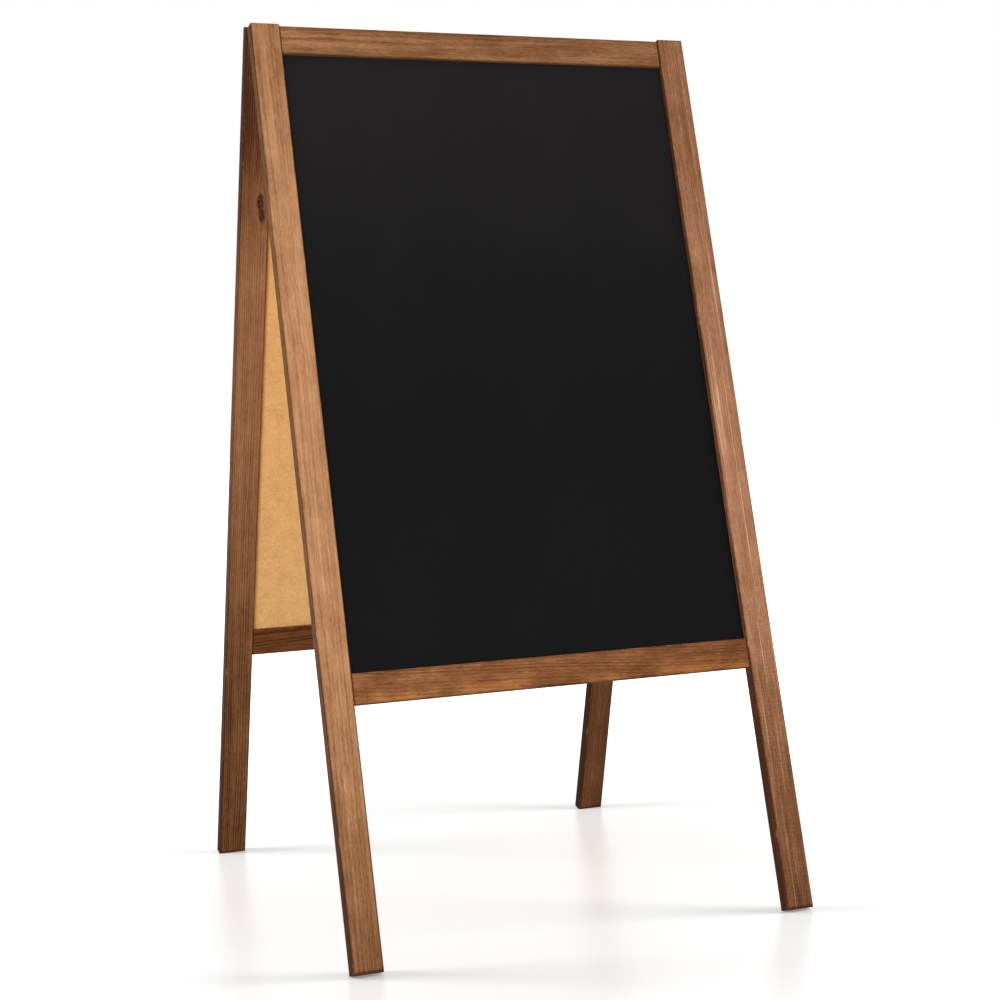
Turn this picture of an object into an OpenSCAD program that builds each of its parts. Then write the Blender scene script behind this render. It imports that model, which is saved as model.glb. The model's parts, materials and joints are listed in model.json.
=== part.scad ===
// Folding A-frame chalkboard: two equal framed boards hinged together at the top.
// Frame: +Z up, origin on the ground midway between the four feet, the front board
// towards -Y, the hinge axis along X. Lengths in millimetres, angles in degrees.
// Each board is drawn lying in its own axes: X across, Y from its outer face inwards,
// Z up the stile from the foot. on_front() and on_rear() stand it in place.

/* [Boards] */
// Width of a board over its two stiles
board_w = 610; // [560:10:700]
// Length of a stile from foot to top
stile_len = 1180; // [1000:10:1300]
// Lean of each board from upright when the pair stands open
lean = 15.5; // [14:0.5:20]
// Gap between the two boards when they are folded together
fold_gap = 3; // [3:0.5:5]

/* [Battens] */
// Width of a stile's face
stile_w = 38; // [34:1:50]
// Thickness of a stile
stile_t = 18; // [17:0.5:22]
// Height of a rail's face
rail_h = 38; // [36:1:50]
// How far a rail's faces lie behind the stile's faces
rail_setback = 2; // [1.5:0.5:2.5]
// Distance from the stile tops down to the top rail
top_rail_drop = 2; // [1.5:0.1:4]
// Height of the bottom rail's underside up the stile
bottom_rail_at = 310; // [200:2:400]
// Radius on the long edges and the stile tops
edge_r = 2.2; // [1:0.2:3]
// Height of the narrow flat planed on each foot so that it stands level
foot_flat = 0.9; // [0.5:0.1:1.5]

/* [Panel] */
// Thickness of the hardboard sheet
panel_t = 3; // [2.5:0.5:4]
// Distance from the stile's outer face to the writing surface
panel_depth = 7.5; // [7:0.5:9]
// Depth of the groove that holds the sheet
groove_depth = 7; // [5:0.5:8]

/* [Dowels] */
// Diameter of a joint dowel
dowel_d = 8; // [6:1:8]
// Length of a joint dowel
dowel_len = 36; // [30:2:40]

/* [Hinges] */
// Distance from the middle of the board to the middle of each hinge
hinge_at = 170; // [120:5:200]
// Length of a hinge along its pin
hinge_len = 60; // [50:5:80]
// Height of a hinge leaf below the pin
leaf_h = 33; // [30:1:34]
// Diameter of a screw's shank
screw_d = 3.5; // [3:0.5:4]
// Length of a screw with its head
screw_len = 14; // [12:1:15]

/* [Hidden] */
$fn = 48;

// A hair of extra length, so that a cutter runs clear through a face
over = 1;
left = -1;
right = 1;

// Frame of a board
half_w = board_w / 2;
inner_half = half_w - stile_w;
rail_t = stile_t - 2 * rail_setback;
top_rail_at = stile_len - top_rail_drop - rail_h;
bottom_rail_top = bottom_rail_at + rail_h;

// The sheet stands on the bottom rail's groove and has a little play elsewhere
panel_play = 1;
groove_slack = 0.1;
panel_bottom = bottom_rail_top - groove_depth;
panel_top = top_rail_at + groove_depth - panel_play;
panel_half_w = inner_half + groove_depth - panel_play;

// Two dowels in each joint, both kept out of the way of the panel's groove
dowel_low = 8;
dowel_high = 24;

// The pin sits between the boards, just low enough for the stile tops to clear
half_gap = fold_gap / 2;
top_clearance = 0.5;
hinge_u = stile_len - half_gap / tan(lean) + top_clearance;
hinge_z = hinge_u * cos(lean) - half_gap * sin(lean) - foot_flat;
closing_angle = 2 * lean;

// Leaves fill the rail's setback, and the barrel just fits between the two rails
leaf_t = rail_setback;
leaf_r = 3;
barrel_clearance = 0.3;
barrel_r = rail_setback + half_gap - barrel_clearance;
pin_r = barrel_r / 2 - 0.2;
pin_play = 0.05;
pin_head = 1.2;
knuckle_count = 5;
knuckle_len = hinge_len / knuckle_count;
knuckle_gap = 0.15;
notch_gap = 0.1;

// Stop dogs: a tooth on the middle front knuckle runs in a notch beside it
dog_len = 2.5;
dog_root = 0.5;
dog_half_angle = 30;
dog_skin = 0.15;
dog_slack = 0.4;

// Three screws in each leaf
screw_spots = [[-0.35, -13], [0, -25], [0.35, -13]];
screw_r = screw_d / 2;
screw_head_r = 1.9 * screw_r;
screw_head_h = leaf_t - 0.2;
screw_rim = 0.1;
screw_tip = 3;
recess_w = 0.8;
recess_depth = 1.1;

wood_light = "#a9744a";
wood_red = "#9a5c3a";
wood_dark = "#6d452c";
chalk_black = "#1d1d1e";
beech = "#d8b98a";
zinc = "#b9bcc0";

// ---- placing -------------------------------------------------------------

// Stands a board as the front one, leaning back from its feet at -Y
module on_front() {
    translate([0, 0, hinge_z])
        rotate([-lean, 0, 0])
            translate([0, -stile_t - half_gap, -hinge_u])
                children();
}

// Stands a board as the rear one
module on_rear() {
    mirror([0, 1, 0])
        on_front()
            children();
}

// Moves to the middle of the left or the right hinge pin
module at_hinge(side) {
    translate([side * hinge_at, 0, hinge_z])
        children();
}

// ---- wood ----------------------------------------------------------------

// Rectangle with true arcs at its corners, its low corner at the origin
module round_rect(w, h, r) {
    translate([r, 0])
        square([w - 2 * r, h]);
    translate([0, r])
        square([w, h - 2 * r]);
    for (x = [r, w - r], y = [r, h - r])
        translate([x, y])
            circle(r);
}

// A batten w wide, t thick and len long, standing on a square end, with its long
// edges and its top eased
module stile_blank(w, t, len, r) {
    tail = 4 * r;
    intersection() {
        linear_extrude(len)
            round_rect(w, t, r);
        translate([0, t + over, -tail])
            rotate([90, 0, 0])
                linear_extrude(t + 2 * over)
                    round_rect(w, len + tail, r);
        translate([-over, 0, -tail])
            rotate([90, 0, 90])
                linear_extrude(w + 2 * over)
                    round_rect(t, len + tail, r);
    }
}

// Holes or pegs for the dowels of all joints, or of one side's joints
module dowel_set(sides, r, len) {
    for (side = sides, at = [bottom_rail_at, top_rail_at])
        for (up = at == top_rail_at ? [rail_h - dowel_high, rail_h - dowel_low] : [dowel_low, dowel_high])
            translate([side * inner_half - len / 2, stile_t / 2, at + up])
                rotate([0, 90, 0])
                    cylinder(r = r, h = len);
}

// One stile with its stopped panel groove and dowel holes
module stile(side) {
    groove_half = panel_t / 2 + groove_slack;
    difference() {
        translate([side * (inner_half + stile_w / 2) - stile_w / 2, 0, 0])
            stile_blank(stile_w, stile_t, stile_len, edge_r);
        translate([
            side * inner_half - groove_depth,
            panel_depth + panel_t / 2 - groove_half,
            panel_bottom
        ])
            cube([2 * groove_depth, 2 * groove_half, top_rail_at + groove_depth - panel_bottom]);
        dowel_set([side], dowel_d / 2, dowel_len);
    }
}

// Everything below the ground, which planes the level flat on a foot
module below_ground() {
    translate([-board_w, -stile_len, -stile_t])
        cube([2 * board_w, 2 * stile_len, stile_t]);
}

// One rail between the stiles, grooved along its upper or its lower edge
module rail(at, groove_on_top) {
    groove_at = groove_on_top ? rail_h - groove_depth : -over;
    difference() {
        translate([-inner_half, rail_setback, at])
            rotate([90, 0, 90])
                linear_extrude(2 * inner_half)
                    round_rect(rail_t, rail_h, edge_r);
        translate([-board_w / 2, panel_depth - groove_slack, at + groove_at])
            cube([board_w, panel_t + 2 * groove_slack, groove_depth + over]);
        dowel_set([left, right], dowel_d / 2, dowel_len);
    }
}

// The top rail also has the pilot holes of the hinge screws
module top_rail() {
    difference() {
        rail(top_rail_at, false);
        for (side = [left, right])
            screw_set(side);
    }
}

// Writing sheet, black in front and raw hardboard behind
module panel() {
    translate([-panel_half_w, panel_depth, panel_bottom])
        cube([2 * panel_half_w, panel_t, panel_top - panel_bottom]);
}

// ---- hinges --------------------------------------------------------------

// Hinge screws of one leaf, drawn in the board's own axes
module screw_set(side) {
    for (spot = screw_spots)
        translate([
            side * hinge_at + spot[0] * hinge_len,
            stile_t,
            hinge_u + spot[1]
        ])
            rotate([90, 0, 0])
                screw_body();
}

// Countersunk wood screw without its recess, its head's top at the origin
module screw_body() {
    rotate_extrude()
        polygon([
            [0, screw_rim / 2],
            [screw_head_r - screw_rim, screw_rim / 2],
            [screw_head_r, screw_rim],
            [screw_r, screw_head_h],
            [screw_r, screw_len - screw_tip],
            [0, screw_len]
        ]);
}

// The same screws with their cross recesses
module finished_screws(side) {
    for (spot = screw_spots)
        translate([
            side * hinge_at + spot[0] * hinge_len,
            stile_t,
            hinge_u + spot[1]
        ])
            rotate([90, 0, 0])
                difference() {
                    screw_body();
                    for (turn = [45, 135])
                        rotate([0, 0, turn])
                            translate([-screw_r, -recess_w / 2, -over])
                                cube([2 * screw_r, recess_w, recess_depth + over]);
                }
}

// Part of a ring about the hinge axis, between two angles taken from +Z towards +Y
module ring_sector(from_angle, to_angle, r_in, r_out, len) {
    rotate([0, 90, 0])
        rotate([0, 0, 180 - to_angle])
            rotate_extrude(angle = to_angle - from_angle)
                translate([r_in, 0])
                    square([r_out - r_in, len]);
}

// Start of a knuckle along the pin, counted from the hinge's left end
function knuckle_start(i) = -hinge_len / 2 + i * knuckle_len;

// Solid barrel pieces of the knuckles listed
module knuckles(list) {
    for (i = list)
        translate([knuckle_start(i) + knuckle_gap, 0, 0])
            rotate([0, 90, 0])
                cylinder(r = barrel_r, h = knuckle_len - 2 * knuckle_gap);
}

// Hole for the pin through the whole barrel
module pin_hole(r) {
    translate([-hinge_len / 2 - over, 0, 0])
        rotate([0, 90, 0])
            cylinder(r = r, h = hinge_len + 2 * over);
}

// Flat part of a front leaf, cut back around the knuckles of the other leaf
module leaf_plate(others) {
    rotate([-lean, 0, 0])
        difference() {
            translate([-hinge_len / 2, -half_gap, -leaf_h])
                rotate([90, 0, 0])
                    linear_extrude(leaf_t)
                        leaf_outline();
            for (i = others)
                translate([knuckle_start(i) - notch_gap, -barrel_r - leaf_t, -barrel_r - 2 * barrel_clearance])
                    cube([knuckle_len + 2 * notch_gap, 2 * barrel_r + leaf_t, 2 * barrel_r]);
        }
}

// Leaf outline with rounded lower corners
module leaf_outline() {
    round_rect(hinge_len, leaf_h - leaf_r, leaf_r);
    translate([0, leaf_h / 2])
        square([hinge_len, leaf_h / 2]);
}

// Screw holes of one leaf, in the hinge's axes
module leaf_screw_holes() {
    rotate([-lean, 0, 0])
        for (spot = screw_spots)
            translate([spot[0] * hinge_len, -half_gap, spot[1]])
                rotate([90, 0, 0])
                    rotate_extrude()
                        polygon([
                            [0, -over],
                            [screw_head_r, -over],
                            [screw_head_r, screw_rim],
                            [screw_r, screw_head_h],
                            [screw_r, leaf_t + over],
                            [0, leaf_t + over]
                        ]);
}

// Stop tooth on top of the barrel, a hair thinner than the barrel's wall
module tooth(len) {
    ring_sector(-dog_half_angle, dog_half_angle, pin_r + dog_skin, barrel_r - dog_skin, len);
}

// The front leaf holds the pin tightly and carries the two stop teeth
module front_leaf(side) {
    middle = 2;
    tooth_len = dog_len + knuckle_gap + dog_root;
    left_tooth_at = knuckle_start(middle) - dog_len;
    right_tooth_at = knuckle_start(middle + 1) - knuckle_gap - dog_root;
    at_hinge(side)
        difference() {
            union() {
                leaf_plate([1, 3]);
                knuckles([0, middle, 4]);
                for (end = [left_tooth_at, right_tooth_at])
                    translate([end, 0, 0])
                        tooth(tooth_len);
            }
            pin_hole(pin_r);
            leaf_screw_holes();
        }
}

// The rear leaf turns on the pin, and its notches meet the teeth when open
module rear_leaf(side) {
    notch_len = dog_len + knuckle_gap + 0.1;
    notch_from = -dog_half_angle - closing_angle - dog_slack;
    notch_to = dog_half_angle + dog_slack;
    at_hinge(side)
        difference() {
            union() {
                mirror([0, 1, 0])
                    leaf_plate([0, 2, 4]);
                knuckles([1, 3]);
            }
            pin_hole(pin_r + pin_play);
            mirror([0, 1, 0])
                leaf_screw_holes();
            for (end = [knuckle_start(2) - notch_len, knuckle_start(3)])
                translate([end, 0, 0])
                    ring_sector(notch_from, notch_to, pin_r / 2, barrel_r + over, notch_len);
        }
}

// Pin with a low domed head at each end
module hinge_pin(side) {
    at_hinge(side) {
        translate([-hinge_len / 2, 0, 0])
            rotate([0, 90, 0])
                cylinder(r = pin_r, h = hinge_len);
        for (end = [0, 1])
            mirror([end, 0, 0])
                translate([hinge_len / 2, 0, 0])
                    rotate([0, 90, 0])
                        rotate_extrude()
                            polygon([
                                [0, 0],
                                [barrel_r - 0.4, 0],
                                [barrel_r - 0.4, pin_head / 2],
                                [barrel_r - 1, pin_head],
                                [0, pin_head]
                            ]);
    }
}

// ---- sub-parts -----------------------------------------------------------

module front_left_stile() {
    color(wood_light)
        difference() {
            on_front()
                stile(left);
            below_ground();
        }
}

module front_right_stile() {
    color(wood_red)
        difference() {
            on_front()
                stile(right);
            below_ground();
        }
}

module front_top_rail() {
    color(wood_light)
        on_front()
            top_rail();
}

module front_bottom_rail() {
    color(wood_light)
        on_front()
            rail(bottom_rail_at, true);
}

module front_panel() {
    color(chalk_black)
        on_front()
            panel();
}

module front_dowels() {
    color(beech)
        on_front()
            dowel_set([left, right], dowel_d / 2, dowel_len);
}

module rear_left_stile() {
    color(wood_dark)
        difference() {
            on_rear()
                stile(left);
            below_ground();
        }
}

module rear_right_stile() {
    color(wood_dark)
        difference() {
            on_rear()
                stile(right);
            below_ground();
        }
}

module rear_top_rail() {
    color(wood_dark)
        on_rear()
            top_rail();
}

module rear_bottom_rail() {
    color(wood_dark)
        on_rear()
            rail(bottom_rail_at, true);
}

module rear_panel() {
    color(chalk_black)
        on_rear()
            panel();
}

module rear_dowels() {
    color(beech)
        on_rear()
            dowel_set([left, right], dowel_d / 2, dowel_len);
}

module left_hinge_front_leaf() {
    color(zinc)
        front_leaf(left);
}

module left_hinge_rear_leaf() {
    color(zinc)
        rear_leaf(left);
}

module left_hinge_pin() {
    color(zinc)
        hinge_pin(left);
}

module right_hinge_front_leaf() {
    color(zinc)
        front_leaf(right);
}

module right_hinge_rear_leaf() {
    color(zinc)
        rear_leaf(right);
}

module right_hinge_pin() {
    color(zinc)
        hinge_pin(right);
}

module front_hinge_screws() {
    color(zinc)
        on_front()
            for (side = [left, right])
                finished_screws(side);
}

module rear_hinge_screws() {
    color(zinc)
        on_rear()
            for (side = [left, right])
                finished_screws(side);
}

front_left_stile();
front_right_stile();
front_top_rail();
front_bottom_rail();
front_panel();
front_dowels();
rear_left_stile();
rear_right_stile();
rear_top_rail();
rear_bottom_rail();
rear_panel();
rear_dowels();
left_hinge_front_leaf();
left_hinge_rear_leaf();
left_hinge_pin();
right_hinge_front_leaf();
right_hinge_rear_leaf();
right_hinge_pin();
front_hinge_screws();
rear_hinge_screws();
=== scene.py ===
"""Dresses the folding A-frame chalkboard: stained battens, writing sheets and zinc hinges.

Each board is worked out in its own directions, measured from the hinge pins: across the
board, in from its writing side, and up its stiles. The rear board mirrors the front one.
"""

import json
import math

import bpy
from mathutils import Matrix, Vector

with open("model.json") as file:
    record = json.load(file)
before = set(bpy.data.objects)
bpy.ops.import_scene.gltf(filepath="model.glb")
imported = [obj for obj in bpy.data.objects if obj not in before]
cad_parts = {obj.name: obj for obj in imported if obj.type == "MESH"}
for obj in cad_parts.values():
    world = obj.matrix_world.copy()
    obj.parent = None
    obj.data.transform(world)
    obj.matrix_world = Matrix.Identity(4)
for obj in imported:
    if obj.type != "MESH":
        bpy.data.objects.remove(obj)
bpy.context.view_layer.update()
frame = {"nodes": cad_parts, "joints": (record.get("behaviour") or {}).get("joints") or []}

MM = 0.001

# ---------------------------------------------------------------- the boards' own directions

FOLD = frame["joints"][0]
HINGE = Vector(FOLD["pos_m"])
LEAN = math.radians(max(FOLD["range_deg"])) / 2
FRONT, REAR = 1, -1
ACROSS, IN, UP = 0, 1, 2


def board_directions(board):
    """The across, in and up directions of a board, where board is FRONT or REAR."""
    return (
        Vector((1, 0, 0)),
        Vector((0, board * math.cos(LEAN), -math.sin(LEAN))),
        Vector((0, board * math.sin(LEAN), math.cos(LEAN))),
    )


def board_box(node, board):
    """A node's lowest and highest across, in and up, from the hinge pins, in metres."""
    places = [v.co - HINGE for v in frame["nodes"][node].data.vertices]
    rows = [[p.dot(way) for p in places] for way in board_directions(board)]
    return [min(r) for r in rows], [max(r) for r in rows]


# ---------------------------------------------------------------- shader arithmetic


class Field:
    """A number that varies over a surface. Arithmetic on it adds Math nodes."""

    def __init__(self, paint, socket):
        self.paint = paint
        self.socket = socket

    def math(self, operation, *others):
        inputs = dict(enumerate((self, *others)))
        return self.paint.add("ShaderNodeMath", {"operation": operation}, inputs)

    def __add__(self, other):
        return self.math("ADD", other)

    def __mul__(self, other):
        return self.math("MULTIPLY", other)

    __radd__ = __add__
    __rmul__ = __mul__

    def __sub__(self, other):
        return self.math("SUBTRACT", other)

    def __rsub__(self, other):
        return self * -1 + other

    def __truediv__(self, other):
        return self.math("DIVIDE", other)

    def __abs__(self):
        return self.math("ABSOLUTE")

    def rise(self, low, high):
        """0 below low and 1 above high, with a smooth rise between them."""
        settings = {"interpolation_type": "SMOOTHSTEP"}
        inputs = {"Value": self, "From Min": low, "From Max": high}
        return self.paint.add("ShaderNodeMapRange", settings, inputs)


class Paint:
    """The nodes of a material or a world. Every one of them comes from node()."""

    def __init__(self, owner):
        self.owner = owner
        owner.use_nodes = True
        self.tree = owner.node_tree
        self.tree.nodes.clear()

    def node(self, kind, settings=(), inputs=()):
        """A new node: its settings are made first, then its sockets' values or links."""
        node = self.tree.nodes.new(kind)
        for name, value in dict(settings).items():
            if name == "stops":
                self._set_stops(node.color_ramp, value)
            else:
                setattr(node, name, value)
        for key, value in dict(inputs).items():
            if isinstance(value, Field):
                self.tree.links.new(value.socket, node.inputs[key])
            else:
                node.inputs[key].default_value = value
        return node

    @staticmethod
    def _set_stops(ramp, stops):
        while len(ramp.elements) < len(stops):
            ramp.elements.new(1.0)
        for element, (place, colour) in zip(ramp.elements, stops):
            element.position = place
            element.color = (*colour, 1.0)

    def add(self, kind, settings=(), inputs=(), output=0):
        """One output of a new node."""
        return Field(self, self.node(kind, settings, inputs).outputs[output])

    def split(self, vector):
        outputs = self.node("ShaderNodeSeparateXYZ", (), {0: vector}).outputs
        return [Field(self, socket) for socket in outputs]

    def vector(self, x, y, z):
        return self.add("ShaderNodeCombineXYZ", (), {0: x, 1: y, 2: z})

    def noise(self, measures, waves, detail=2.0, roughness=0.5, shift=0.0, output="Fac"):
        """Noise over three measures, each with its own number of waves to one of it."""
        first, second, third = (m * count for m, count in zip(measures, waves))
        if shift:
            first = first + shift
        place = self.vector(first, second, third)
        inputs = {"Vector": place, "Scale": 1.0, "Detail": detail, "Roughness": roughness}
        return self.add("ShaderNodeTexNoise", {"noise_dimensions": "3D"}, inputs, output)

    def ramp(self, amount, stops):
        return self.add("ShaderNodeValToRGB", {"stops": stops}, {"Fac": amount})

    def mix(self, amount, first, second):
        """A mix of two colours, where each is a node's colour or three numbers."""
        first, second = (c if isinstance(c, Field) else (*c, 1.0) for c in (first, second))
        inputs = {0: amount, 6: first, 7: second}
        return self.add("ShaderNodeMix", {"data_type": "RGBA"}, inputs, 2)

    def dot(self, vector, direction):
        settings = {"operation": "DOT_PRODUCT"}
        return self.add("ShaderNodeVectorMath", settings, {0: vector, 1: direction}, "Value")

    def finish(self, surface, relief, height, strength):
        """The material with these sockets, and a bump from its relief."""
        inputs = {"Strength": strength, "Distance": height, "Height": relief}
        surface["Normal"] = self.add("ShaderNodeBump", (), inputs)
        return self.show(self.add("ShaderNodeBsdfPrincipled", (), surface))

    def show(self, shader, kind="ShaderNodeOutputMaterial"):
        self.node(kind, (), {"Surface": shader})
        return self.owner


def new_paint(name):
    return Paint(bpy.data.materials.new(name))


def board_place(paint, board):
    """The across, in and up of each point, from the hinge pins, in metres."""
    place = paint.add("ShaderNodeTexCoord", output="Object")
    settings = {"operation": "SUBTRACT"}
    from_hinge = paint.add("ShaderNodeVectorMath", settings, {0: place, 1: HINGE}, "Vector")
    return [paint.dot(from_hinge, way) for way in board_directions(board)]


# ---------------------------------------------------------------- stained softwood

# Each stain runs from the wood's darkest tone, at 0, to its palest, at 1
LIGHT_STAIN = [
    (0.00, (0.062, 0.022, 0.009)),
    (0.35, (0.208, 0.092, 0.038)),
    (0.62, (0.366, 0.178, 0.083)),
    (1.00, (0.560, 0.315, 0.176)),
]
RED_STAIN = [
    (0.00, (0.062, 0.022, 0.010)),
    (0.35, (0.192, 0.081, 0.036)),
    (0.62, (0.342, 0.163, 0.088)),
    (1.00, (0.600, 0.350, 0.225)),
]
DEEP_STAIN = [
    (0.00, (0.068, 0.020, 0.007)),
    (0.35, (0.166, 0.062, 0.022)),
    (0.62, (0.300, 0.132, 0.054)),
    (1.00, (0.500, 0.265, 0.125)),
]
DARK_STAIN = [
    (0.00, (0.062, 0.022, 0.010)),
    (0.35, (0.160, 0.066, 0.026)),
    (0.62, (0.280, 0.126, 0.055)),
    (1.00, (0.435, 0.220, 0.105)),
]
# pale worn arrises, which partly stand in for a painted highlight
WEAR_AND_HIGHLIGHT = (0.62, 0.40, 0.24)
WARM_STAIN = (0.400, 0.150, 0.038)
END_GRAIN = (0.040, 0.017, 0.009)
# Painted shadows: in the gaps where rails butt against stiles, and along rails' lower arrises
BUTT_GAP_SHADOW = (0.020, 0.009, 0.005)
RAIL_UNDER_SHADE = (0.022, 0.009, 0.004)
KNOT_WOOD = (0.034, 0.011, 0.009)
KNOT_FLECK = (0.36, 0.17, 0.09)

# How far each of these moves a batten's tone at its strongest
FIBRE_TONE = 0.40
PORE_TONE = 0.56
# These five are painted shade on the arrises, the legs' arrises, the feet (with some end-grain
# stain) and the stiles' sides, and painted light on the rails' edges
PAINTED_ARRIS_SHADE = -0.12
PAINTED_LEG_SHADE = -0.26
FOOT_SHADE_AND_STAIN = -0.40
PAINTED_SIDE_SHADE = -0.36
PAINTED_RAIL_LIGHT = 0.22

WOOD_RELIEF = 0.3 * MM
RIPPLES_PER_M = 210
PLANED_UP_TO = (0.25, 0.60)  # the planer's marks fade out between these heights of a stile
LEG_SHADE_UP_TO = (0.20, 0.45)  # and so does the painted shade on the legs' arrises between these
KNOT_SHAPE = 0.42  # a knot's width over its length
KNOT_PULL = 0.62  # how far a knot pushes the fibres aside


class Figure:
    """How one batten was sawn from its log, and how strongly that shows."""

    def __init__(
        self, pith, level, drift=0.004, ring=2.4 * MM, wander=9 * MM,
        ring_depth=0.30, streak_depth=0.25, blotch_depth=0.22,
        shades=(), ripple=0.0, pale=0.0, glow=0.0, knots=(),
    ):
        self.pith = pith  # from the batten's middle, across its face and in from it
        self.level = level  # the tone that everything else moves up or down
        self.drift = drift  # how far the pith runs out across the face, per metre
        self.ring = ring  # how wide one year's growth is
        self.wander = wander  # how far the rings stray from true circles
        self.ring_depth = ring_depth  # how much darker the late wood is
        self.streak_depth = streak_depth
        self.blotch_depth = blotch_depth
        self.shades = shades  # each one's start and end along the batten, and its change
        self.ripple = ripple  # how much the planer's cross marks show
        self.pale = pale  # how much thin pale lines show
        self.glow = glow  # how orange a rail's lower half is
        self.knots = knots  # each one's place along and across the batten, and its radius


class Batten:
    """A batten's measures: along it from its low end, across its face, and deep into it."""

    def __init__(self, paint, node, board, upright):
        low, high = board_box(node, board)
        self.length_way, self.face_way = (UP, ACROSS) if upright else (ACROSS, UP)
        self.half_length = (high[self.length_way] - low[self.length_way]) / 2
        self.half_face = (high[self.face_way] - low[self.face_way]) / 2
        self.half_depth = (high[IN] - low[IN]) / 2
        place = board_place(paint, board)
        self.along = place[self.length_way] - low[self.length_way]
        self.across = place[self.face_way] - (low[self.face_way] + self.half_face)
        self.deep = place[IN] - (low[IN] + self.half_depth)


def bend_round_knots(paint, batten, knots):
    """The measure across the fibres, which knots push aside, and the knots' own wood."""
    knot_core = None
    flow = batten.across
    for knot_along, knot_across, radius in knots:
        beside = batten.across - knot_across
        off_knot = paint.vector((batten.along - knot_along) * KNOT_SHAPE, beside, 0.0)
        off = paint.add("ShaderNodeVectorMath", {"operation": "LENGTH"}, {0: off_knot}, "Value")
        flow = flow - beside * (1 - off.rise(radius * 0.3, radius * 3.4)) * KNOT_PULL
        core = 1 - off.rise(radius * 0.55, radius * 1.05)
        knot_core = core if knot_core is None else knot_core.math("MAXIMUM", core)
    return flow, knot_core


def late_wood(paint, batten, figure, flow, fibre, seed):
    """The dark part of each growth ring, about a pith line that wanders along the batten."""
    along, deep = batten.along, batten.deep
    wander = paint.noise((along, flow, deep), (2.3, 6, 6), 2.0, 0.55, seed, "Color")
    wander_across, wander_deep, ring_blur = paint.split(wander)
    ring_across = flow - figure.pith[0] - along * figure.drift
    ring_across = ring_across + (wander_across - 0.5) * figure.wander
    ring_deep = deep - figure.pith[1] + (wander_deep - 0.5) * figure.wander
    radius = (ring_across * ring_across + ring_deep * ring_deep).math("SQRT")
    years = radius / figure.ring + (ring_blur + fibre * 0.35) * 0.8
    season = years.math("FRACT")
    late = season.rise(0.25, 0.86) * (1 - season.rise(0.90, 1.0))
    year_strength = paint.noise((radius, along, seed), (140, 0.8, 1), 1.0)
    return late * year_strength.rise(0.30, 0.68)


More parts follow.
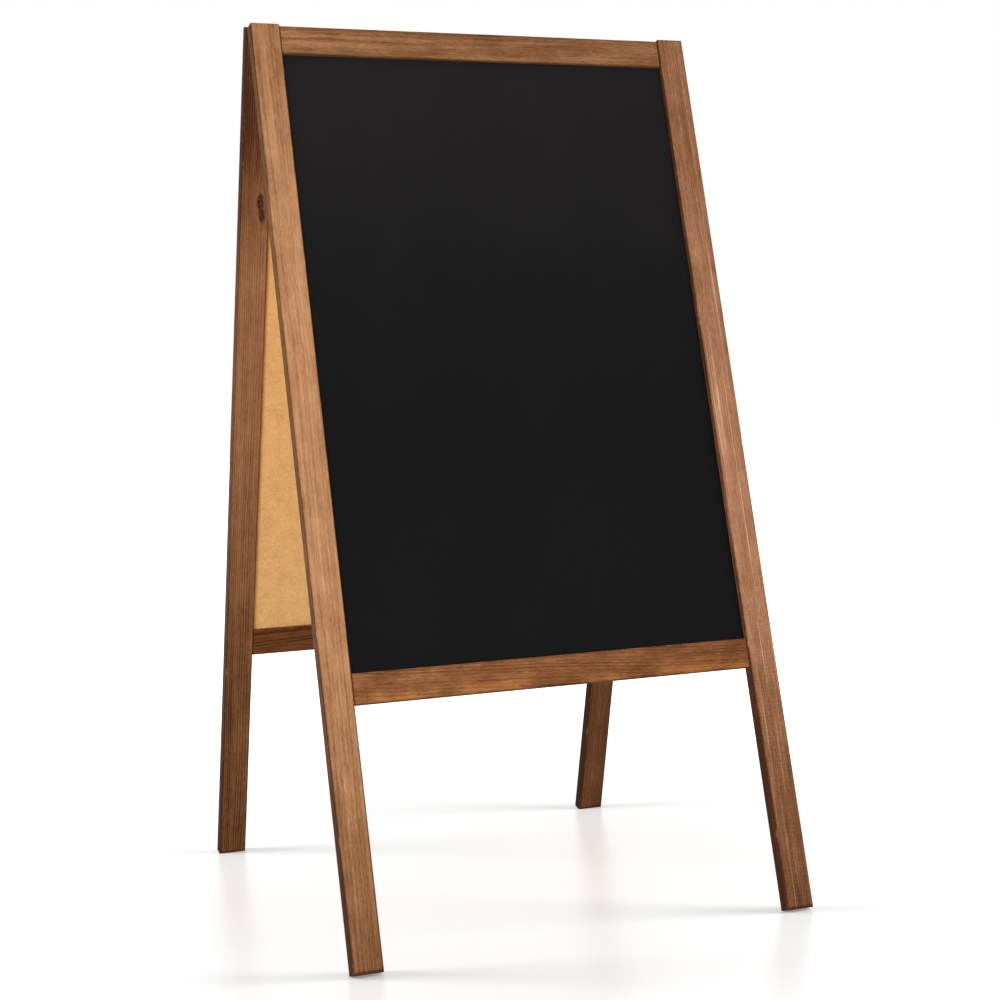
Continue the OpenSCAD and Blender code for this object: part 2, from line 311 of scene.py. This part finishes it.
def wood(node, board, upright, figure, stain, seed):
    """Softwood with growth rings, fibres, uneven stain, dark end grain, arrises rubbed pale, and
    painted light and shade.
    """
    paint = new_paint(node + "_wood")
    batten = Batten(paint, node, board, upright)
    along, across, deep = batten.along, batten.across, batten.deep
    flow, knot_core = bend_round_knots(paint, batten, figure.knots)
    with_fibres = (along, flow, deep)
    straight = (along, across, deep)

    # Fibres, rings, broad streaks, short pores and blotches where the stain took unevenly
    fibre = paint.noise(with_fibres, (24, 640, 640), 4.0, 0.65, seed * 3)
    late = late_wood(paint, batten, figure, flow, fibre, seed)
    streak = paint.noise(with_fibres, (2.6, 120, 120), shift=seed * 5)
    pore = paint.noise(with_fibres, (130, 800, 800), 3.0, 0.7, seed)
    blotch = paint.noise(straight, (18, 40, 40), 5.0, 0.70, seed)
    tone = figure.level + (streak - 0.5) * figure.streak_depth * 2
    tone = tone + (fibre - 0.5) * FIBRE_TONE + (pore - 0.5) * PORE_TONE
    tone = tone + (blotch - 0.5) * figure.blotch_depth * 2 - late * figure.ring_depth
    # Shades move a batten's tone along it; the rear left stile's top one is painted shade between
    # the boards
    for start, stop, change in figure.shades:
        tone = tone + along.rise(start, stop) * change
    if figure.pale:
        line = paint.noise(with_fibres, (3.4, 400, 400), 2.0, 0.55, seed)
        tone = tone + (line.rise(0.54, 0.72) - 0.20) * figure.pale
    if figure.ripple:
        uneven = paint.noise((along, across, seed), (90, 60, 1), 3.0, 0.6)
        marks = (along * RIPPLES_PER_M + uneven * 2.2).math("FRACT")
        planed = (abs(marks - 0.5).rise(0.05, 0.45) - 0.5) * uneven.rise(0.30, 0.65)
        tone = tone + planed * (1 - along.rise(*PLANED_UP_TO)) * figure.ripple

    # Painted shade darkens the arrises and the stiles' sides and feet, where some end-grain stain
    # bleeds too, and painted light makes the rails' edges paler
    normal = paint.add("ShaderNodeTexCoord", output="Normal")
    ways = board_directions(board)
    side = abs(paint.dot(normal, ways[batten.face_way])).rise(0.35, 0.85)
    end = abs(paint.dot(normal, ways[batten.length_way])).rise(0.7, 0.95)
    corner = (batten.half_face - abs(across)) + (batten.half_depth - abs(deep))
    # edge marks the arrises: painted shade darkens them here, and further on, wear and a painted
    # highlight pale them
    edge = 1 - corner.rise(0.6 * MM, 3.0 * MM)
    # painted shade on the stiles' sides, and painted light on the rails' top and bottom faces
    side_light_and_shade = PAINTED_SIDE_SHADE if upright else PAINTED_RAIL_LIGHT
    tone = tone + side * side_light_and_shade + edge * PAINTED_ARRIS_SHADE
    if upright:
        # painted shade on the legs' arrises, fading out up the stile, and a painted contact
        # shadow with some end-grain stain at the feet
        leg_shade = 1 - along.rise(*LEG_SHADE_UP_TO)
        foot = 1 - along.rise(1.0 * MM, 5.5 * MM)
        tone = tone + edge * leg_shade * PAINTED_LEG_SHADE + foot * FOOT_SHADE_AND_STAIN
    colour = paint.ramp(tone, stain)
    if knot_core is not None:
        bark = paint.noise(straight, (420, 700, 700), 3.0, 0.7)
        knot = paint.mix(bark.rise(0.58, 0.68), KNOT_WOOD, KNOT_FLECK)
        colour = paint.mix(knot_core * 0.88, colour, knot)

    # Arrises rubbed through to bare wood in places, partly as a painted highlight, and dark end
    # grain
    pale_patches = paint.noise(straight, (42, 90, 90), 3.0, 0.7, seed)
    # pale arrises: wear in places, partly as a painted highlight
    worn_and_highlight = edge * pale_patches.rise(0.56, 0.74)
    colour = paint.mix(worn_and_highlight * (1 - end) * 0.30, colour, WEAR_AND_HIGHLIGHT)
    colour = paint.mix(end * 0.66, colour, END_GRAIN)

    # A rail's warm lower half, and the painted shadows in the gaps where it butts and along its
    # lower arris
    above_low_edge = across + batten.half_face
    if figure.glow:
        warm = above_low_edge.rise(batten.half_face * 0.9, 1.5 * MM) * blotch.rise(0.42, 0.62)
        colour = paint.mix(warm * figure.glow, colour, WARM_STAIN)
    if not upright:
        half = batten.half_length
        # painted shadow in the gap where the rail butts against a stile
        butt_gap_shadow = abs(along - half).rise(half - 1.6 * MM, half - 0.5 * MM)
        colour = paint.mix(butt_gap_shadow * 0.85, colour, BUTT_GAP_SHADOW)
        # painted shade along the rail's lower arris
        lower = 1 - above_low_edge.rise(0.3 * MM, 1.5 * MM)
        colour = paint.mix(lower * 0.62, colour, RAIL_UNDER_SHADE)

    surface = {
        "Base Color": colour,
        "Roughness": 0.52 + (fibre - 0.5) * 0.25 - late * 0.10 + end * 0.2,
        "Specular IOR Level": 0.01,
    }
    relief = fibre * 0.5 + pore * 0.45 + late * 0.7 + streak * 0.5
    return paint.finish(surface, relief, WOOD_RELIEF, 0.6)


# ---------------------------------------------------------------- writing sheets

PAINT_ENDS = (0.8 * MM, 1.0 * MM)  # how deep the black goes into a sheet's edges
BLACK_LOW = (0.0020, 0.0021, 0.0022)
# the black's palest, where wiped chalk and the painted sheen show
BLACK_HIGH = (0.0122, 0.0103, 0.0110)
CHALK_SPECK = (0.020, 0.020, 0.021)
HARDBOARD = [
    (0.0, (0.50, 0.260, 0.095)),
    (0.5, (0.78, 0.445, 0.166)),
    (1.0, (0.92, 0.60, 0.27)),
]
BARK_FLECK = (0.30, 0.14, 0.05)
SHEET_RELIEF = 0.2 * MM


def writing_sheet(node, board):
    """Matt black paint with wiped chalk in it and a painted sheen towards the top outside, and
    raw hardboard inside.
    """
    paint = new_paint(node + "_sheet")
    low, high = board_box(node, board)
    across, inward, up = board_place(paint, board)
    painted = 1 - inward.rise(*(low[IN] + depth for depth in PAINT_ENDS))

    wiped = paint.noise((across, up, board), (9, 5, 3), 5.0, 0.62)
    swirl = paint.noise((across, up, board), (34, 60, 8), 4.0, 0.7)
    speck = paint.noise((across, up, inward), (900, 900, 900), 2.0, 0.6)
    haze = wiped.rise(0.40, 0.85) * 0.7 + swirl.rise(0.50, 0.90) * 0.3
    height = (up - low[UP]) / (high[UP] - low[UP])
    # painted sheen: the black pales towards the top of the sheet, besides the wiped chalk
    chalk_and_sheen = haze * 0.35 + height.rise(0.30, 1.10) * 0.75
    black = paint.mix(chalk_and_sheen, BLACK_LOW, BLACK_HIGH)
    black = paint.mix(speck.rise(0.62, 0.80) * 0.25, black, CHALK_SPECK)

    pulp = paint.noise((across, up, inward), (360, 330, 400), 5.0, 0.75)
    cloud = paint.noise((across, up, board), (45, 38, 5), 5.0, 0.65)
    fleck = paint.noise((across, up, inward), (1400, 1400, 900), 2.0, 0.6)
    tan = paint.ramp(0.5 + (pulp - 0.5) * 1.15 + (cloud - 0.5) * 0.80, HARDBOARD)
    tan = paint.mix(fleck.rise(0.64, 0.80) * 0.35, tan, BARK_FLECK)

    surface = {
        "Base Color": paint.mix(painted, tan, black),
        "Roughness": 0.90 - painted * (0.30 - haze * 0.16),
        "Specular IOR Level": 0.05,
    }
    relief = (speck * 0.25 + swirl * 0.15) * painted + pulp * (1 - painted)
    return paint.finish(surface, relief, SHEET_RELIEF, 0.5)


# ---------------------------------------------------------------- dowels and hardware

RAW_BEECH = [
    (0.0, (0.42, 0.26, 0.13)),
    (0.5, (0.62, 0.44, 0.25)),
    (1.0, (0.76, 0.60, 0.38)),
]
BEECH_RAY = (0.30, 0.17, 0.08)
BEECH_RELIEF = 0.1 * MM
ZINC_PLATE = [
    (0.0, (0.34, 0.35, 0.37)),
    (0.5, (0.56, 0.57, 0.59)),
    (1.0, (0.78, 0.79, 0.82)),
]
BRIGHT_SCRATCH = (0.86, 0.87, 0.90)
ZINC_RELIEF = 0.05 * MM


def beech(name):
    """Raw beech turned into dowels, with its short dark rays."""
    paint = new_paint(name)
    place = paint.split(paint.add("ShaderNodeTexCoord", output="Object"))
    ray = paint.noise(place, (260, 1400, 1400), 3.0, 0.6)
    fibre = paint.noise(place, (40, 900, 900), 3.0, 0.6)
    colour = paint.ramp(fibre * 0.7 + ray * 0.3, RAW_BEECH)
    colour = paint.mix(ray.rise(0.62, 0.78) * 0.5, colour, BEECH_RAY)
    surface = {"Base Color": colour, "Roughness": 0.62 + (fibre - 0.5) * 0.3}
    return paint.finish(surface, fibre, BEECH_RELIEF, 0.4)


def zinc(name):
    """Zinc-plated steel: drawn lines along the hinge, dull patches and fine scratches."""
    paint = new_paint(name)
    x, y, z = paint.split(paint.add("ShaderNodeTexCoord", output="Object"))
    drawn = paint.noise((x, y, z), (60, 3200, 3200), 3.0, 0.6)
    cloud = paint.noise((x, y, z), (160, 160, 160), 4.0, 0.6)
    scratch = paint.noise((x * 900 + z * 700, y, z * 90 - x * 60), (1, 260, 1), 2.0, 0.7)
    scratched = scratch.rise(0.66, 0.74)
    colour = paint.ramp(cloud * 0.7 + drawn * 0.3, ZINC_PLATE)
    colour = paint.mix(scratched * 0.5, colour, BRIGHT_SCRATCH)
    surface = {
        "Base Color": colour,
        "Metallic": 1.0,
        "Roughness": 0.30 + cloud * 0.22 + (drawn - 0.5) * 0.12 - scratched * 0.08,
    }
    relief = drawn * 0.6 + cloud * 0.3 - scratched * 0.4
    return paint.finish(surface, relief, ZINC_RELIEF, 0.35)


# ---------------------------------------------------------------- finishes on the nodes


def paint_node(node, material):
    slots = frame["nodes"][node].data.materials
    slots.clear()
    slots.append(material)


# Each batten's board, whether it stands upright, its stain, its noise's seed and its figure
BATTENS = {
    "front_left_stile": (FRONT, True, LIGHT_STAIN, 1.7, Figure(
        (-46 * MM, 60 * MM), level=0.32, ring=2.7 * MM, ring_depth=0.12, blotch_depth=0.28,
        shades=((0.00, 0.24, 0.11), (0.10, 0.50, 0.19), (0.90, 1.14, -0.12)))),
    "front_right_stile": (FRONT, True, RED_STAIN, 4.1, Figure(
        (64 * MM, 40 * MM), level=0.275, ring_depth=0.12, streak_depth=0.12,
        shades=((0.00, 0.24, 0.11), (0.14, 0.46, 0.25), (0.62, 0.78, -0.08), (0.85, 1.05, -0.07)),
        ripple=0.08, pale=0.32)),
    "front_top_rail": (FRONT, False, LIGHT_STAIN, 7.9, Figure(
        (-14 * MM, 34 * MM), level=0.365, drift=0.035, ring=3.2 * MM, wander=16 * MM,
        ring_depth=0.20)),
    "front_bottom_rail": (FRONT, False, DEEP_STAIN, 12.3, Figure(
        (-30 * MM, 26 * MM), level=0.45, drift=-0.060, ring=3.4 * MM, wander=20 * MM,
        ring_depth=0.20, streak_depth=0.15, blotch_depth=0.42,
        shades=((0.08, 0.22, -0.06), (0.36, 0.48, -0.04)), glow=0.42)),
    "rear_left_stile": (REAR, True, DARK_STAIN, 15.2, Figure(
        (40 * MM, 50 * MM), level=0.29, blotch_depth=0.27,
        # the last shade is painted shade where the boards close together at the top
        shades=((0.05, 0.70, 0.47), (0.84, 0.96, -0.20), (0.94, 1.08, -0.36)),
        knots=((0.957, 7 * MM, 6.0 * MM), (0.940, 9 * MM, 5.0 * MM)))),
    "rear_right_stile": (REAR, True, DARK_STAIN, 21.6, Figure(
        (-36 * MM, 46 * MM), level=0.29, shades=((0.02, 0.50, 0.25),))),
    "rear_top_rail": (REAR, False, LIGHT_STAIN, 26.4, Figure(
        (12 * MM, 38 * MM), level=0.40, drift=-0.030, ring=3.0 * MM, wander=15 * MM)),
    "rear_bottom_rail": (REAR, False, DEEP_STAIN, 31.8, Figure(
        (20 * MM, 30 * MM), level=0.30, drift=0.050, ring=3.3 * MM, wander=18 * MM)),
}

for node, (board, upright, stain, seed, figure) in BATTENS.items():
    paint_node(node, wood(node, board, upright, figure, stain, seed))

for node, board in (("front_panel", FRONT), ("rear_panel", REAR)):
    paint_node(node, writing_sheet(node, board))

dowel_finish = beech("beech_dowel")
zinc_finish = zinc("zinc_steel")
for node in frame["nodes"]:
    if node.endswith("_dowels"):
        paint_node(node, dowel_finish)
    elif "hinge" in node:
        paint_node(node, zinc_finish)


# ---------------------------------------------------------------- stage, lights and camera

WHITE = (1.0, 1.0, 1.0, 1.0)
FLOOR_COLOUR = (0.80, 0.80, 0.80, 1.0)
FLOOR_BOUNCE = (0.45, 0.44, 0.43, 1.0)  # the light that it throws back onto the board
FLOOR_HALF = 12.0
NEAR_GLOW = 0.235
FAR_GLOW = 0.90
GLOW_RISE = (0.35, 1.7)  # the far glow comes in between these distances from the middle
SENSOR_MM = 36


def collection_of(name, objects):
    group = bpy.data.collections.new(name)
    for one in objects:
        group.objects.link(one)
    return group


def white_floor():
    """A pale satin floor that brightens away from the board, as a seamless sweep does."""
    half = FLOOR_HALF
    corners = [(-half, -half, 0), (half, -half, 0), (half, half, 0), (-half, half, 0)]
    mesh = bpy.data.meshes.new("floor")
    mesh.from_pydata(corners, [], [(0, 1, 2, 3)])
    floor = bpy.data.objects.new("floor", mesh)
    bpy.context.scene.collection.objects.link(floor)
    paint = new_paint("floor_white")
    x, y, _ = paint.split(paint.add("ShaderNodeTexCoord", output="Object"))
    distance = (x * x + y * y).math("SQRT")
    glow = NEAR_GLOW + distance.rise(*GLOW_RISE) * FAR_GLOW
    seen = paint.add("ShaderNodeBsdfPrincipled", (), {
        "Base Color": FLOOR_COLOUR,
        "Roughness": 0.30,
        "Specular IOR Level": 0.75,
        "Emission Color": paint.vector(glow, glow, glow),
        "Emission Strength": 1.0,
    })
    bounce = paint.add("ShaderNodeBsdfDiffuse", (), {"Color": FLOOR_BOUNCE})
    diffuse_ray = paint.add("ShaderNodeLightPath", output="Is Diffuse Ray")
    either = paint.add("ShaderNodeMixShader", (), {0: diffuse_ray, 1: seen, 2: bounce})
    mesh.materials.append(paint.show(either))
    return floor


def softbox(name, place, target, size, power, receivers):
    """A soft rectangular lamp, its power in watts, that lights only its receivers."""
    light = bpy.data.lights.new(name, "AREA")
    light.shape = "RECTANGLE"
    light.size, light.size_y = size
    light.energy = power
    lamp = bpy.data.objects.new(name, light)
    bpy.context.scene.collection.objects.link(lamp)
    lamp.location = place
    lamp.rotation_euler = (Vector(target) - Vector(place)).to_track_quat("-Z", "Y").to_euler()
    lamp.light_linking.receiver_collection = receivers


def studio_air(seen=1.0, reflected=0.90, lit=0.32):
    """A white surround that lights the board more softly than it looks."""
    world = bpy.data.worlds.new("studio")
    bpy.context.scene.world = world
    paint = Paint(world)
    camera_ray = paint.add("ShaderNodeLightPath", output="Is Camera Ray")
    glossy_ray = paint.add("ShaderNodeLightPath", output="Is Glossy Ray")
    strength = lit + camera_ray * (seen - lit) + glossy_ray * (reflected - lit)
    shader = paint.add("ShaderNodeBackground", (), {"Color": WHITE, "Strength": strength})
    paint.show(shader, "ShaderNodeOutputWorld")


def camera(place, turn, tilt, roll, lens, shift):
    """A camera turned from +Y towards +X, tilted up and rolled, in degrees."""
    turn, tilt, roll = (math.radians(a) for a in (turn, tilt, roll))
    ahead = Vector((
        math.sin(turn) * math.cos(tilt),
        math.cos(turn) * math.cos(tilt),
        math.sin(tilt),
    ))
    level_right = Vector((math.cos(turn), -math.sin(turn), 0))
    level_up = level_right.cross(ahead)
    right = level_right * math.cos(roll) + level_up * math.sin(roll)
    up = level_up * math.cos(roll) - level_right * math.sin(roll)
    data = bpy.data.cameras.new("camera")
    data.lens = lens
    data.sensor_width = SENSOR_MM
    data.shift_x, data.shift_y = shift
    holder = bpy.data.objects.new("camera", data)
    bpy.context.scene.collection.objects.link(holder)
    turned = Matrix((right, up, -ahead)).transposed()
    holder.matrix_world = Matrix.Translation(place) @ turned.to_4x4()
    bpy.context.scene.camera = holder


floor = white_floor()
studio_air()
board_only = collection_of("board_only", frame["nodes"].values())
floor_only = collection_of("floor_only", [floor])
MIDDLE = (0, 0, 0.60)
FLOOR_MIDDLE = (0, 0, 0)
softbox("key_left", (-1.70, -2.15, 0.90), MIDDLE, (1.3, 1.1), 54, board_only)
softbox("key_right", (0.90, -2.70, 1.05), MIDDLE, (1.2, 1.2), 34, board_only)
softbox("back", (0.60, 2.80, 1.40), MIDDLE, (2.0, 1.6), 80, board_only)
softbox("top", (0, -0.3, 3.20), MIDDLE, (1.6, 1.6), 14, board_only)
softbox("right", (2.80, 0.20, 1.10), MIDDLE, (1.2, 1.4), 30, board_only)
softbox("floor_left", (-2.6, 1.05, 0.9), FLOOR_MIDDLE, (1.0, 1.2), 92, floor_only)
softbox("floor_right", (2.6, -1.15, 0.9), FLOOR_MIDDLE, (1.0, 1.2), 92, floor_only)
bpy.context.scene.view_settings.view_transform = "Standard"
camera(
    place=(-0.947, -2.4626, 0.7101), turn=22.6, tilt=-3.4, roll=-1.5,
    lens=70.5, shift=(-0.0365, -0.0273),
)
